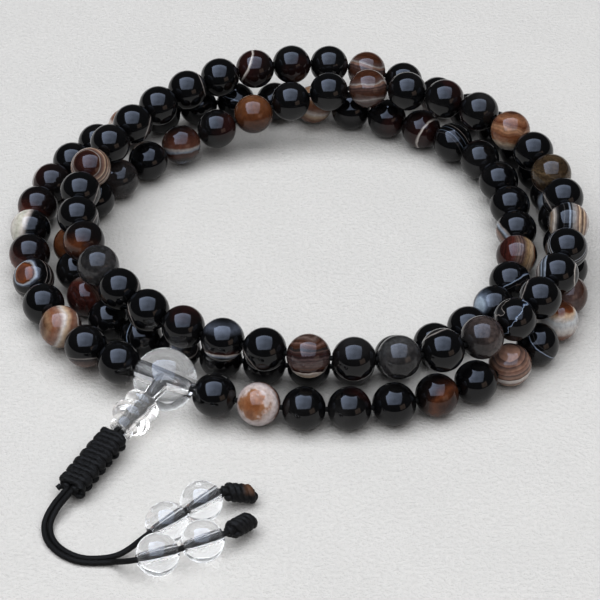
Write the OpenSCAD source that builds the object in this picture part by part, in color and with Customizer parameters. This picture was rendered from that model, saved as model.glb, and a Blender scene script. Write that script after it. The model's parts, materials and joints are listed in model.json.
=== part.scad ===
// A mala of 108 round agate beads, laid down as a loose double coil, with a clear quartz
// guru bead and tower bead, a knotted slider, and a two-strand tail that ends in four
// small quartz beads. The frame has +X to the right, +Y to the back and +Z up, with the
// origin on the table under the middle of the resting mala.

/* [Strand beads] */
// Diameter of a strand bead
bead_d = 8; // [7.8:0.05:8.05]
// Hole through a strand bead
bead_bore = 1.5; // [1.2:0.1:2]
// Thickness of the cord that everything is strung on
cord_d = 1; // [0.8:0.05:1.1]
// Extra slack at each end of the part of the strand that lifts
lift_slack = 0.7; // [0.6:0.1:1.2]

/* [Guru bead] */
// Diameter of the guru bead
guru_d = 11.6; // [11:0.1:12]
// Holes in the guru bead, across it and down to the tail
guru_bore = 2.3; // [2.2:0.1:3]

/* [Tower bead] */
// Length of the tower bead
tower_l = 8.2; // [7.6:0.1:8.3]
// Diameter of the tower bead's barrel
tower_d = 7.6; // [7:0.1:7.8]
// Diameter of the disc next to the guru bead
tower_disc_d = 7; // [6:0.1:7.4]
// Hole down the tower bead
tower_bore = 2.3; // [2.2:0.1:3]

/* [Slider knot] */
// Length of the slider knot
slider_l = 16.4; // [14:0.2:18]
// Width of the slider knot over its side loops
slider_w = 5.8; // [5:0.1:6.4]
// Thickness of the slider knot
slider_h = 3.8; // [3:0.1:4]
// Number of square knots along the slider
slider_knots = 7; // [5:1:9]

/* [Tail] */
// Diameter of a tail bead
tail_bead_d = 7.5; // [7:0.1:7.6]
// Hole through a tail bead
tail_bore = 1.5; // [1.3:0.1:2]
// Diameter of an end knot
knot_d = 3.2; // [2.6:0.1:3.4]
// Length of an end knot
knot_l = 6.8; // [5:0.2:8]
// How far the slider knot moves along its cords
slide_travel = 3; // [0:0.5:3]

/* [Hidden] */
$fn = 48;
// Clear space between neighbouring pieces that are strung on the same cord.
string_gap = 0.1;
// How much wider the slider's two holes are than the cords in them.
slider_play = 0.2;

// ---- The strand: 108 beads in runs of six. The first bead of each run is a piece by
// itself, which turns on the cord, and the other five are a group.
bead_count = 108;
run_beads = 6;
run_count = bead_count / run_beads;
// The stretch that lifts comes after one bead and ends with another, between two runs.
last_before_lift = 30;
last_of_lift = 54;

guru_c = [-24, -37, guru_d / 2];

// The strand's route: places that it passes through on its way from the guru bead round
// to the guru bead again, as right, back and up.
ROUTE = [
    // front of the outer ring, on the table
    [-15.5, -41, 5.5], [-1, -43, 4], [15, -42.5, 4], [30.5, -37, 4], [43.5, -26.5, 4],
    // right side and back, where the ring climbs over the one inside it
    [51, -12.5, 4], [52, 4, 4], [51, 21, 4], [46.5, 36.5, 4], [37, 50.5, 4],
    [23.5, 60, 6], [7.5, 61, 10], [-8.5, 56.5, 12], [-22.5, 48, 12.5], [-33.5, 35, 12.5],
    // the upper turn: down the left side, across the front and up the right side
    [-41, 20, 12.5], [-42.5, 3.5, 12.5], [-37.5, -12, 12.5], [-27.5, -25, 12],
    [-13, -33.5, 12], [2, -38.5, 12.5], [17.5, -38.5, 12], [32.5, -33.5, 12], [44.5, -22, 12],
    [51, -7, 12], [52, 9.5, 12], [47.5, 25.5, 12], [38, 39, 12.5], [23.5, 47, 12.5],
    // back of the upper turn, coming down to the table
    [7.5, 49, 11.5], [-8.5, 45, 8.5], [-23.5, 39, 5], [-35, 29.5, 4],
    // the inner ring, on the table
    [-43, 15.5, 4], [-43, -1, 4.5], [-37, -16, 4], [-24, -25.5, 4], [-8, -30, 4],
    [8.5, -31, 4], [24.5, -25.5, 4], [37, -14.5, 4], [42.5, 0.5, 4.5], [42.5, 17, 4.5],
    [38, 32.5, 5], [26.5, 44.5, 4.5], [11.5, 52.5, 4], [-4.5, 56, 4], [-20.5, 54, 4.5],
    // the left side of the outer ring, back to the guru bead
    [-35.5, 46.5, 4], [-46, 34, 4], [-52, 18.5, 4], [-52, 2, 4.5], [-48, -14, 4.5],
    [-39, -27.5, 5.5],
];

// ---- The tail: one straight line through the tower bead, one through the slider knot,
// and then the two cords lying free on the table.
slider_from = [-32, -49, 3.4];
slider_toward = [-40, -63.5, 2.5];
slider_dir = unit(slider_toward - slider_from);
slider_end = slider_from + slider_dir * slider_l;
free_start = slider_end + slider_dir * (slide_travel + 0.5);
tail_dir = unit(slider_from - guru_c);
// The two cords lie side by side, each this far from the middle of the pair.
pair_half = cord_d / 2 + 0.02;
low_cord_z = cord_d / 2 + 0.1;
// The rear cord is on the left of the pair, looking along it from the guru bead.
rear_side = -1;
tail_z = tail_bead_d / 2;

// Places on the middle line of the pair, after the straight stretch.
PAIR_ROUTE = [
    free_start, [-43, -69.5, 1.1], [-42.5, -73, low_cord_z], [-40.5, -76, low_cord_z],
    [-37.5, -78, low_cord_z], [-34.5, -78.5, low_cord_z],
];
// Where the cords have parted, up to the hole of the first bead on each.
REAR_ROUTE = [[-31, -77.8, 1], [-28.5, -76.5, 1.5], [-25, -75, tail_z]];
FRONT_ROUTE = [[-31, -79.2, 1], [-27, -81.5, tail_z]];
// Between the two beads on each cord, after the second bead, and the end of the knot.
REAR_END = [[-19.5, -70, tail_z], [-13.5, -64.5, tail_z], [-7.5, -63.5, 2]];
FRONT_END = [[-20, -79, tail_z], [-12, -75, tail_z], [-7.5, -70, 2.5]];

RUNS = [for (r = [0 : run_count - 1]) r * run_beads + 1];
SINGLES = [for (k = RUNS) str("bead_", padded(k))];
GROUPS = [for (k = RUNS) str("beads_", padded(k + 1), "_to_", padded(k + run_beads - 1))];

// ---- Directions and names
function unit(v) = v / norm(v);
function level_side(dir) = unit(cross(dir, [0, 0, 1]));
function padded(k) = str(k < 100 ? "0" : "", k < 10 ? "0" : "", k);

// ---- A smooth line through places: four neighbours fix each piece of it.
function between(a, b, c, d, t) =
    (2 * b + (c - a) * t + (2 * a - 5 * b + 4 * c - d) * t ^ 2
        + (3 * b - a - 3 * c + d) * t ^ 3) / 2;
function smooth(places, before, after, steps) = let (p = concat([before], places, [after]))
    [
        for (k = [1 : len(places) - 1])
            for (j = [0 : steps - 1])
                between(p[k - 1], p[k], p[k + 1], p[k + 2], j / steps),
        places[len(places) - 1],
    ];

// ---- The strand's line, and the places along it, by the distance from the guru bead
function on_table(p) = [p.x, p.y, max(p.z, bead_d / 2)];
STRAND = [
    for (p = smooth(concat([guru_c], ROUTE, [guru_c]), ROUTE[len(ROUTE) - 1], ROUTE[0], 12))
        on_table(p)
];
STEP = [for (i = [1 : len(STRAND) - 1]) norm(STRAND[i] - STRAND[i - 1])];
ALONG = [for (i = 0, s = 0; i < len(STRAND); s = s + (i < len(STEP) ? STEP[i] : 0), i = i + 1) s];
strand_l = ALONG[len(ALONG) - 1];
X_AT = [for (i = [0 : len(STRAND) - 1]) [ALONG[i], STRAND[i].x]];
Y_AT = [for (i = [0 : len(STRAND) - 1]) [ALONG[i], STRAND[i].y]];
Z_AT = [for (i = [0 : len(STRAND) - 1]) [ALONG[i], STRAND[i].z]];
function strand_at(s) = [lookup(s, X_AT), lookup(s, Y_AT), lookup(s, Z_AT)];

// Each bead sits on one straight link of the cord, and the links share their ends, except
// for the slack at each end of the stretch that lifts.
first_link = guru_d / 2 + string_gap / 2;
pitch = (strand_l - 2 * first_link - 2 * lift_slack) / bead_count;
function slack_before(k) = (k > last_before_lift ? lift_slack : 0) + (k > last_of_lift ? lift_slack : 0);
function link_start(k) = strand_at(first_link + (k - 1) * pitch + slack_before(k));
function link_end(k) = strand_at(first_link + k * pitch + slack_before(k));
FROM = [for (k = [1 : bead_count]) link_start(k)];
TO = [for (k = [1 : bead_count]) link_end(k)];
function bead_at(k) = (FROM[k - 1] + TO[k - 1]) / 2;
function bead_axis(k) = unit(TO[k - 1] - FROM[k - 1]);
lift_from = (TO[last_before_lift - 1] + FROM[last_before_lift]) / 2;
lift_to = (TO[last_of_lift - 1] + FROM[last_of_lift]) / 2;
guru_axis = unit(FROM[0] - TO[bead_count - 1]);

// ---- Shapes that several pieces share
module along(p, dir) {
    translate(p) rotate([0, acos(dir.z), atan2(dir.y, dir.x)]) children();
}

module drilled_ball(d, bore) {
    difference() {
        sphere(d = d);
        cylinder(d = bore, h = 2 * d, center = true);
    }
}

// A cord: eight-sided rings at each point, each with its own radius and its own side.
module cord(points, radii) {
    n = len(points);
    last = n - 1;
    rings = [
        for (i = [0 : last]) let (
            dir = unit(unit(points[min(i + 1, last)] - points[max(i - 1, 0)])),
            side = level_side(dir),
            up = cross(side, dir)
        )
            for (q = [0 : 7]) points[i] + radii[i] * (side * cos(45 * q + 22.5) + up * sin(45 * q + 22.5)),
    ];
    faces = [
        [for (q = [0 : 7]) q],
        for (i = [0 : n - 2]) for (q = [0 : 7])
            [8 * i + q, 8 * (i + 1) + q, 8 * (i + 1) + (q + 1) % 8, 8 * i + (q + 1) % 8],
        [for (q = [7 : -1 : 0]) 8 * last + q],
    ];
    polyhedron(points = rings, faces = faces, convexity = 10);
}

// ---- Strand beads
BROWN = [1, 17, 21, 24, 47, 52, 60, 67, 68, 88, 89, 94, 104];
CREAM = [2, 8, 10, 27, 44, 63, 91, 99, 107];
GREY = [31, 34, 40, 42, 46, 49, 53, 61, 101];
function has(list, k) = len([for (v = list) if (v == k) v]) > 0;
function agate(k) =
    has(BROWN, k) ? "#6b3f2c" : has(CREAM, k) ? "#cdb9a2" : has(GREY, k) ? "#6d6f74" : "#17181a";

module strand_bead(k) {
    color(agate(k)) along(bead_at(k), bead_axis(k)) drilled_ball(bead_d, bead_bore);
}

// ---- Guru bead: a round bead with one hole along the strand and one down to the tail.
module guru_bead() {
    color("#d5dbe2") difference() {
        translate(guru_c) sphere(d = guru_d);
        along(guru_c, guru_axis) cylinder(d = guru_bore, h = 2 * guru_d, center = true);
        along(guru_c, tail_dir) cylinder(d = guru_bore, h = guru_d);
    }
}

// ---- Tower bead: a disc, a barrel and a narrow neck, turned round one hole.
neck_d = 0.6 * tower_d;
disc_h = 0.33 * tower_l;
barrel_h = 0.45 * tower_l;
module round_rim(d, z, h) {
    translate([0, z]) square([(d - h) / 2, h]);
    translate([(d - h) / 2, z + h / 2]) circle(d = h);
}

module tower_bead() {
    color("#dde3ea") along(guru_c + tail_dir * (guru_d / 2 + string_gap), tail_dir) difference() {
        rotate_extrude() difference() {
            union() {
                round_rim(tower_disc_d, 0, disc_h);
                round_rim(tower_d, disc_h - 0.1, barrel_h);
                translate([0, disc_h + barrel_h / 2])
                    square([neck_d / 2, tower_l - disc_h - barrel_h / 2]);
            }
            translate([-tower_d, -1]) square([tower_d, tower_l + 2]);
        }
        translate([0, 0, -1]) cylinder(d = tower_bore, h = tower_l + 2);
    }
}

// ---- Slider knot: a row of square knots, each with a loop at either side and two bars
// across the top and the bottom, over a core with two holes for the cords.
knot_pitch = slider_l / slider_knots;
loop_d = 1.06 * knot_pitch;
bar_d = 0.52 * knot_pitch;
module slider_knot() {
    color("#1c1c1e") along(slider_from, slider_dir) difference() {
        union() {
            translate([-slider_h / 2 + 0.5, -slider_w / 2 + loop_d / 2, 0])
                cube([slider_h - 1, slider_w - loop_d, slider_l]);
            for (i = [0 : slider_knots - 1]) translate([0, 0, (i + 0.5) * knot_pitch]) {
                for (s = [-1, 1]) translate([0, s * (slider_w - loop_d) / 2, 0])
                    rotate([0, 90, 0]) cylinder(d = loop_d, h = slider_h - 1.2, center = true);
                for (s = [-1, 1], b = [-1, 1])
                    translate([s * (slider_h - bar_d) / 2, 0, b * knot_pitch / 4])
                        rotate([90, 0, 0]) cylinder(d = bar_d, h = slider_w - loop_d, center = true);
            }
        }
        for (s = [-1, 1]) translate([0, s * pair_half, -1])
            cylinder(d = cord_d + slider_play, h = slider_l + 2);
        translate([-cord_d / 4, -pair_half, -1]) cube([cord_d / 2, 2 * pair_half, slider_l + 2]);
    }
}

// ---- Strand cord, in three stretches that meet in the slack links
tip_r = cord_d / 2;
function tip(p, dir) = [for (a = [30, 60]) p + dir * tip_r * sin(a)];
TIP_R = [for (a = [30, 60]) tip_r * cos(a)];
lift_from_dir = unit(FROM[last_before_lift] - TO[last_before_lift - 1]);
lift_to_dir = unit(FROM[last_of_lift] - TO[last_of_lift - 1]);

module strand_cord_first() {
    links = [for (k = [1 : last_before_lift]) TO[k - 1]];
    line = concat([guru_c, FROM[0]], links, [lift_from]);
    radii = [for (p = line) tip_r];
    color("#262628") cord(concat(line, tip(lift_from, lift_from_dir)), concat(radii, TIP_R));
}

module strand_cord_lift() {
    links = [for (k = [last_before_lift + 1 : last_of_lift]) TO[k - 1]];
    line = concat(
        [lift_from + lift_from_dir * tip_r, FROM[last_before_lift]], links,
        [lift_to - lift_to_dir * tip_r]
    );
    color("#262628") cord(line, [for (p = line) tip_r]);
}

module strand_cord_last() {
    links = [for (k = [last_of_lift + 1 : bead_count]) TO[k - 1]];
    tips = tip(lift_to, -lift_to_dir);
    line = concat([lift_to, FROM[last_of_lift]], links, [guru_c]);
    radii = [for (p = line) tip_r];
    color("#262628") cord(
        concat([tips[1], tips[0]], line),
        concat([TIP_R[1], TIP_R[0]], radii)
    );
}

// ---- Tail cords: side by side through the guru, the tower and the slider, then free.
tail_start = guru_c + tail_dir * (cord_d + 0.1);
function pair_side(i) = level_side(PAIR_ROUTE[min(i + 1, len(PAIR_ROUTE) - 1)] - PAIR_ROUTE[max(i - 1, 0)]);
function tail_line(s, parted, end) = let (
    held = [
        tail_start + s * pair_half * level_side(tail_dir),
        slider_from + s * pair_half * level_side(tail_dir + slider_dir),
    ],
    start_side = s * pair_half * level_side(slider_dir),
    free = concat(
        [free_start + start_side],
        [for (i = [1 : len(PAIR_ROUTE) - 1]) PAIR_ROUTE[i] + s * pair_half * pair_side(i)],
        parted
    ),
    run = smooth(free, slider_end + start_side, end[0], 3)
) concat(held, run, [end[0], end[1], (end[1] + end[2]) / 2]);

module tail_cord(s, parted, end) {
    line = tail_line(s, parted, end);
    color("#222224") cord(line, [for (p = line) cord_d / 2]);
}

module tail_cord_rear() { tail_cord(rear_side, REAR_ROUTE, REAR_END); }
module tail_cord_front() { tail_cord(-rear_side, FRONT_ROUTE, FRONT_END); }

// ---- Tail beads: each on the straight link between two places on its cord
module tail_bead(a, b) {
    color("#e4e8ee") along((a + b) / 2, unit(b - a)) drilled_ball(tail_bead_d, tail_bore);
}

module tail_bead_rear_1() { tail_bead(REAR_ROUTE[2], REAR_END[0]); }
module tail_bead_rear_2() { tail_bead(REAR_END[0], REAR_END[1]); }
module tail_bead_front_1() { tail_bead(FRONT_ROUTE[1], FRONT_END[0]); }
module tail_bead_front_2() { tail_bead(FRONT_END[0], FRONT_END[1]); }

// ---- End knots: five turns of cord round the cord's own end
knot_turns = 5;
wrap_d = knot_l / knot_turns;
module end_knot(end) {
    dir = unit(end[2] - end[1]);
    color("#1a1a1c") along(end[1] + dir * 0.3, dir) rotate_extrude() {
        square([(knot_d - wrap_d) / 2, knot_l]);
        for (i = [0 : knot_turns - 1])
            translate([(knot_d - wrap_d) / 2, (i + 0.5) * wrap_d]) circle(d = wrap_d);
    }
}

module end_knot_rear() { end_knot(REAR_END); }
module end_knot_front() { end_knot(FRONT_END); }

// ---- What is drawn
for (r = [0 : run_count - 1]) {
    strand_bead(RUNS[r]);
    for (k = [RUNS[r] + 1 : RUNS[r] + run_beads - 1]) strand_bead(k);
}
guru_bead();
tower_bead();
slider_knot();
strand_cord_first();
strand_cord_lift();
strand_cord_last();
tail_cord_rear();
tail_cord_front();
tail_bead_rear_1();
tail_bead_rear_2();
tail_bead_front_1();
tail_bead_front_2();
end_knot_rear();
end_knot_front();
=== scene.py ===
"""The looks of a mala of banded agate beads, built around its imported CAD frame.

Everything is in metres in the frame's own axes: +X right, +Y back, +Z up, with the table
at z = 0. Beads, cords and knots take their places from the CAD nodes and joints.
"""

import json
import math
import random

import bpy
import numpy as np
from mathutils import Matrix, Vector


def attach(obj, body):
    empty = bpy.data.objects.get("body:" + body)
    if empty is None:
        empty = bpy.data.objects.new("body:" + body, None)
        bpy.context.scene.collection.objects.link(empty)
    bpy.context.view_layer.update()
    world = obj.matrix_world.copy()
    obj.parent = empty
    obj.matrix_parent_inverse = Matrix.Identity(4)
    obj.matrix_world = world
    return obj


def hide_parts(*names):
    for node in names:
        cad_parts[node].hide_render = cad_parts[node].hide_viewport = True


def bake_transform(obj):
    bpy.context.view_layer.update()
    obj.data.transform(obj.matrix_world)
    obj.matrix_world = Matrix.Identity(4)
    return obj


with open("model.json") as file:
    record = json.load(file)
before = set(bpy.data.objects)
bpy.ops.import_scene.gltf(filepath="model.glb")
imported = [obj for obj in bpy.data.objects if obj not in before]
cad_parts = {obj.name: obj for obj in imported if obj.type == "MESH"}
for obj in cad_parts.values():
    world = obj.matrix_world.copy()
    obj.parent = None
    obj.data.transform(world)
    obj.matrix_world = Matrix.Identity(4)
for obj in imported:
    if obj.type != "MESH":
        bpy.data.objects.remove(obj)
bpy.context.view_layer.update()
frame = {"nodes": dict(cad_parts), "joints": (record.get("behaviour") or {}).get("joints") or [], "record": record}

MM = 0.001
UP = Vector((0, 0, 1))

# Sizes that the visual pieces share with the CAD part, in metres.
BEAD_R = 4.0 * MM
BEAD_BORE_R = 0.75 * MM
CORD_D = 1.0 * MM
GURU_R = 5.8 * MM
GURU_BORE_R = 1.15 * MM
TAIL_BEAD_R = 3.75 * MM
TAIL_BORE_R = 0.75 * MM
TOWER_L = 8.2 * MM
TOWER_BORE_R = 1.15 * MM
SLIDER_L = 16.4 * MM
KNOT_L = 6.8 * MM
BEAD_COUNT = 108

JOINTS = {j["name"]: j for j in frame["joints"]}


def joint_point(name):
    return Vector(JOINTS[name]["pos_m"])


def joint_axis(name):
    return Vector(JOINTS[name]["axis"]).normalized()


# ---- Camera
CAMERA_AIM = Vector((0.5, -6.5, 0)) * MM
CAMERA_DISTANCE = 0.481
CAMERA_ELEVATION = math.radians(38.4)

camera_data = bpy.data.cameras.new("camera")
camera_data.lens = 150
camera_data.sensor_width = 36
camera = bpy.data.objects.new("camera", camera_data)
bpy.context.scene.collection.objects.link(camera)
toward_camera = Vector((0, -math.cos(CAMERA_ELEVATION), math.sin(CAMERA_ELEVATION)))
camera.location = CAMERA_AIM + toward_camera * CAMERA_DISTANCE
camera.rotation_euler = (-toward_camera).to_track_quat("-Z", "Y").to_euler()
bpy.context.scene.camera = camera
bpy.context.scene.view_settings.view_transform = "Standard"
bpy.context.scene.view_settings.gamma = 0.83


# ---- Mesh helpers
def make_object(name, verts, faces, materials, face_slots=None, attributes=None):
    """A smooth-shaded mesh object from numpy vertices and lists of vertex numbers."""
    mesh = bpy.data.meshes.new(name)
    mesh.from_pydata([tuple(v) for v in verts], [], [tuple(f) for f in faces])
    for material in materials:
        mesh.materials.append(material)
    if face_slots is not None:
        mesh.polygons.foreach_set("material_index", np.asarray(face_slots, np.int32))
    mesh.polygons.foreach_set("use_smooth", np.ones(len(mesh.polygons), bool))
    for key, values in (attributes or {}).items():
        values = np.asarray(values, np.float32)
        kind = "FLOAT" if values.ndim == 1 else "FLOAT_VECTOR"
        layer = mesh.attributes.new(key, kind, "POINT")
        layer.data.foreach_set("value" if kind == "FLOAT" else "vector", values.ravel())
    mesh.validate()
    mesh.update()
    obj = bpy.data.objects.new(name, mesh)
    bpy.context.scene.collection.objects.link(obj)
    return obj


class Parts:
    """Collects several shapes that become one object."""

    def __init__(self):
        self.verts, self.faces, self.slots, self.extra = [], [], [], {}
        self.count = 0

    def add(self, verts, faces, slot, **attributes):
        self.verts.append(verts)
        self.faces.extend((faces + self.count).tolist())
        self.slots.append(np.full(len(faces), slot))
        for key, values in attributes.items():
            self.extra.setdefault(key, []).append(values)
        self.count += len(verts)

    def build(self, name, materials):
        extra = {key: np.concatenate(values) for key, values in self.extra.items()}
        verts = np.concatenate(self.verts)
        slots = np.concatenate(self.slots)
        return make_object(name, verts, self.faces, materials, slots, extra)


def place_piece(piece, node, body):
    """The piece stands for a CAD node, which it hides, and rides with a body."""
    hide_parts(node)
    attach(piece, body)
    return piece


def axes_for(direction):
    """A 3x3 matrix whose third column is direction and whose others are square to it."""
    d = Vector(direction).normalized()
    side = d.cross(UP)
    side = Vector((1, 0, 0)) if side.length < 1e-4 else side.normalized()
    other = d.cross(side)
    return np.array([side, other, d]).T


def revolve(profile, sides):
    """A closed profile of (radius, height) points turned round Z: vertices and quads."""
    profile = np.asarray(profile)
    n = len(profile)
    turn = 2 * np.pi * np.arange(sides) / sides
    ring = np.stack([np.cos(turn), np.sin(turn)], 1)
    verts = np.empty((sides, n, 3))
    verts[:, :, :2] = ring[:, None, :] * profile[None, :, :1]
    verts[:, :, 2] = profile[None, :, 1]
    here = np.arange(sides)[:, None] * n + np.arange(n)[None]
    over = np.roll(here, -1, axis=0)
    faces = np.stack(
        [here, np.roll(here, -1, axis=1), np.roll(over, -1, axis=1), over], -1
    )
    return verts.reshape(-1, 3), faces.reshape(-1, 4)


def arc(centre, radius, start, end, steps):
    """Points of a circle arc in the (radius, height) plane, angles in degrees."""
    a = np.radians(np.linspace(start, end, steps + 1))
    return [(centre[0] + radius * np.cos(t), centre[1] + radius * np.sin(t)) for t in a]


def drilled_ball_profile(radius, bore, fillet, steps):
    """Right half of a ball with a hole along its axis and rounded rims, wall last."""
    rise = math.sqrt((radius - fillet) ** 2 - (bore + fillet) ** 2)
    mouth = math.degrees(math.atan2(rise, bore + fillet))
    top = arc((bore + fillet, rise), fillet, 180, mouth, 4)
    outside = arc((0, 0), radius, mouth, -mouth, steps)[1:]
    bottom = arc((bore + fillet, -rise), fillet, -mouth, -180, 4)[1:]
    return [(bore, 0.0)] + top + outside + bottom


def smooth_line(points, before, after, steps):
    """The frame's own smooth line through given places, in the same number of steps."""
    p = [np.array(v, float) for v in [before, *points, after]]
    line = []
    for a, b, c, d in zip(p, p[1:], p[2:], p[3:]):
        for t in np.arange(steps) / steps:
            bend = (2 * a - 5 * b + 4 * c - d) * t**2 + (3 * b - a - 3 * c + d) * t**3
            line.append((2 * b + (c - a) * t + bend) / 2)
    line.append(p[-2])
    return line


def evenly(points, spacing):
    """Points along a line at even distances, and the distance of each from its start."""
    p = np.array(points, float)
    step = np.linalg.norm(np.diff(p, axis=0), axis=1)
    along = np.concatenate([[0], np.cumsum(step)])
    count = max(2, int(round(along[-1] / spacing)) + 1)
    s = np.linspace(0, along[-1], count)
    return np.stack([np.interp(s, along, p[:, i]) for i in range(3)], 1), s


def rounded(points, spacing, passes):
    """A line resampled and eased, so that it bends instead of kinking. Ends stay put."""
    line, _ = evenly(points, spacing)
    for _ in range(passes):
        line[1:-1] = (line[:-2] + 2 * line[1:-1] + line[2:]) / 4
    return evenly(line, spacing)


def tube(points, along, radius, sides, relief=0.0, lay=0.0, plait=1):
    """A cord along points. relief is how far its strands stand up, lay their turn per metre,
    and plait how many of them go round each way."""
    points = np.asarray(points)
    tangent = np.gradient(points, axis=0)
    tangent /= np.linalg.norm(tangent, axis=1)[:, None]
    side = np.cross(tangent[0], [0, 0, 1.0])
    rings = []
    turn = 2 * np.pi * np.arange(sides) / sides
    radii = np.broadcast_to(radius, len(points))
    for i, (p, t) in enumerate(zip(points, tangent)):
        side = side - t * np.dot(side, t)
        side = side / np.linalg.norm(side)
        up = np.cross(side, t)
        wave = np.cos(plait * turn + lay * along[i]) * np.cos(plait * turn - lay * along[i])
        r = radii[i] * (1 - relief + relief * wave)
        rings.append(p + r[:, None] * (np.cos(turn)[:, None] * side + np.sin(turn)[:, None] * up))
    verts = np.concatenate(rings + [points[:1], points[-1:]])
    n = len(points)
    here = np.arange(n - 1)[:, None] * sides + np.arange(sides)[None]
    over = np.arange(n - 1)[:, None] * sides + np.roll(np.arange(sides), -1)[None]
    quads = np.stack([here, here + sides, over + sides, over], -1).reshape(-1, 4).tolist()
    last = (n - 1) * sides
    q = range(sides)
    first_cap = [[n * sides, k, (k + 1) % sides] for k in q]
    last_cap = [[n * sides + 1, last + (k + 1) % sides, last + k] for k in q]
    s = np.concatenate([np.repeat(along, sides), along[:1], along[-1:]])
    round_it = np.concatenate([np.tile(turn, n), [0, 0]])
    return verts, quads + first_cap + last_cap, s, round_it


def add_tube(parts, points, along, radius, sides, **looks):
    verts, faces, s, round_it = tube(points, along, radius, sides, **looks)
    start = parts.count
    parts.verts.append(verts)
    parts.faces.extend([[v + start for v in f] for f in faces])
    parts.slots.append(np.zeros(len(faces), int))
    parts.extra.setdefault("cord_s", []).append(s)
    parts.extra.setdefault("cord_turn", []).append(round_it)
    parts.count += len(verts)


# ---- Materials
def new_material(name):
    material = bpy.data.materials.new(name)
    material.use_nodes = True
    tree = material.node_tree
    tree.nodes.clear()
    out = tree.nodes.new("ShaderNodeOutputMaterial")
    shader = tree.nodes.new("ShaderNodeBsdfPrincipled")
    tree.links.new(shader.outputs["BSDF"], out.inputs["Surface"])
    return material, tree, shader


def add_node(tree, kind, inputs=None, **settings):
    node = tree.nodes.new(kind)
    for key, value in settings.items():
        setattr(node, key, value)
    for key, value in (inputs or {}).items():
        if isinstance(value, bpy.types.NodeSocket):
            tree.links.new(value, node.inputs[key])
        else:
            node.inputs[key].default_value = value
    return node


def noise(tree, place, scale, detail, **inputs):
    """A noise texture's value, of the fourth dimension too where W is given."""
    inputs = {"Vector": place, "Scale": scale, "Detail": detail, **inputs}
    kind = "4D" if "W" in inputs else "3D"
    return add_node(tree, "ShaderNodeTexNoise", inputs, noise_dimensions=kind).outputs["Fac"]


def map_range(tree, value, seen, wanted):
    """A value that runs over the pair seen, made to run over the pair wanted."""
    ends = {"From Min": seen[0], "From Max": seen[1], "To Min": wanted[0], "To Max": wanted[1]}
    return add_node(tree, "ShaderNodeMapRange", {"Value": value, **ends}).outputs["Result"]


def add_bump(tree, shader, height, strength, distance):
    inputs = {"Height": height, "Strength": strength, "Distance": distance}
    bump = add_node(tree, "ShaderNodeBump", inputs)
    tree.links.new(bump.outputs["Normal"], shader.inputs["Normal"])


def attribute(tree, name, output):
    return add_node(tree, "ShaderNodeAttribute", attribute_name=name).outputs[output]


def math_node(tree, operation, a, b=None, clamp=False):
    values = {0: a} if b is None else {0: a, 1: b}
    return add_node(tree, "ShaderNodeMath", values, operation=operation, use_clamp=clamp).outputs[0]


def ramp(tree, fac, stops):
    node = add_node(tree, "ShaderNodeValToRGB", {"Fac": fac})
    elements = node.color_ramp.elements
    while len(elements) < len(stops):
        elements.new(0.5)
    for element, (place, colour) in zip(elements, stops):
        element.position = place
        element.color = (*colour, 1.0)
    return node.outputs["Color"]


NOISE_SPAN = (0.3, 0.7)  # the values that a noise texture mostly takes
CLOUD_SCALE = 5.0
GRAIN_LINES = 26.0
POLISH = 0.07


def agate(name, stops, warp=0.10, scale=1.3, mottle=0.25, grain=0.0, clear=0.0):
    """Banded stone. stops are its bands from one end of the banding axis to the other, warp
    how far they wander, scale how often, mottle how cloudy they are, grain how strong the fine
    lines are, and clear how much light goes into the stone."""
    material, tree, shader = new_material(name)
    place = attribute(tree, "stone", "Vector")
    seed = attribute(tree, "seed", "Fac")
    along = add_node(tree, "ShaderNodeSeparateXYZ", {0: place}).outputs["Z"]
    wander = noise(tree, place, scale, 3.0, W=seed, Roughness=0.45)
    shift = math_node(tree, "MULTIPLY", math_node(tree, "SUBTRACT", wander, 0.5), 4 * warp)
    level = math_node(tree, "ADD", math_node(tree, "MULTIPLY", along, 0.5), 0.5)
    level = math_node(tree, "ADD", level, shift, clamp=True)
    colour = ramp(tree, level, stops)
    cloud = noise(tree, place, CLOUD_SCALE, 5.0, W=seed, Roughness=0.6)
    shade = map_range(tree, cloud, NOISE_SPAN, (1 - mottle, 1 + mottle))
    if grain:
        lines = add_node(
            tree, "ShaderNodeTexNoise",
            {"W": math_node(tree, "MULTIPLY", level, GRAIN_LINES), "Detail": 2.0, "Scale": 1.0},
            noise_dimensions="1D",
        ).outputs["Fac"]
        lines = map_range(tree, lines, (0.35, 0.65), (1 - grain, 1 + grain))
        shade = math_node(tree, "MULTIPLY", shade, lines)
    tinted = add_node(tree, "ShaderNodeVectorMath", {0: colour, 1: shade}, operation="MULTIPLY")
    tree.links.new(tinted.outputs["Vector"], shader.inputs["Base Color"])
    polish = map_range(tree, cloud, NOISE_SPAN, (POLISH * 0.75, POLISH * 1.4))
    tree.links.new(polish, shader.inputs["Roughness"])
    shader.inputs["IOR"].default_value = 1.54
    shader.inputs["Specular IOR Level"].default_value = 0.45
    if clear:
        shader.inputs["Subsurface Weight"].default_value = clear
        shader.inputs["Subsurface Radius"].default_value = (1.0, 0.8, 0.6)
        shader.inputs["Subsurface Scale"].default_value = 0.8 * MM
    return material


INK = (0.0032, 0.0032, 0.0037)
SOOT = (0.0060, 0.0057, 0.0060)
SMOKE = (0.016, 0.0155, 0.016)
HAZE = (0.036, 0.034, 0.035)
MILK = (0.42, 0.385, 0.36)
PEARL = (0.20, 0.18, 0.17)
BLUE_WHITE = (0.22, 0.25, 0.30)
CREAM = (0.36, 0.275, 0.20)
TAN = (0.19, 0.12, 0.075)
UMBER = (0.045, 0.017, 0.009)
RUST = (0.135, 0.045, 0.016)
MAROON = (0.018, 0.0060, 0.0055)
MAUVE = (0.066, 0.042, 0.038)
PINK_BROWN = (0.185, 0.112, 0.086)

STONES = {}


def stone(kind, stops, **looks):
    STONES[kind] = agate("agate_" + kind, stops, **looks)


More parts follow.
